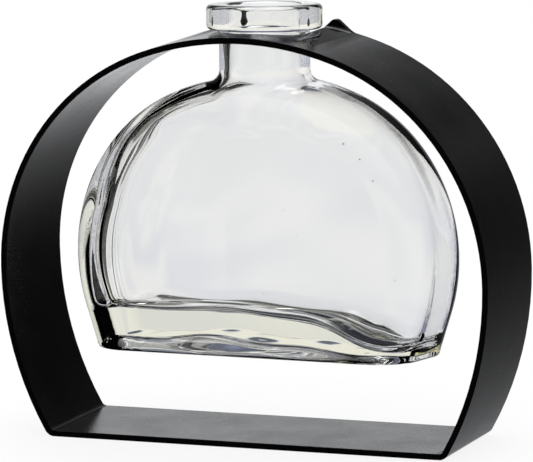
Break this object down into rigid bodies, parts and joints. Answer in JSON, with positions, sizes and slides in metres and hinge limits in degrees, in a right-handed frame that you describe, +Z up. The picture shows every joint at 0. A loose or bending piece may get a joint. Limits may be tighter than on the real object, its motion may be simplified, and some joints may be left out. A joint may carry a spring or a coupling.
{
  "type": "hanging glass vase with stand",
  "caption": "Flat clear glass flask vase with a rounded top, hung by its lip in the slotted crest of a low arch of black steel strip.",
  "frame": {"origin": "middle of the underside of the base plate, on the table", "axes": "+X to the right along the width of the arch, +Y to the back, where the slot is open, +Z up"},
  "size_m": [0.178, 0.0532, 0.1505],
  "materials": {
    "arch_band": "semi-matt black powder coat on steel strip",
    "base_plate": "semi-matt black powder coat on steel strip",
    "glass_vase": "clear soda-lime glass, thick, with an uneven floor and a few seeds"
  },
  "bodies": {
    "stand": {"arch_band": "arch_band", "base_plate": "base_plate"},
    "vase": {"glass_vase": "glass_vase"}
  },
  "joints": [
    {"name": "vase_swivel", "type": "hinge", "parent": "stand", "child": "vase", "pos_m": [0, 0.0044, 0.14067], "axis": [-0.0122, 0.061, 0.9981], "continuous": true}
  ]
}
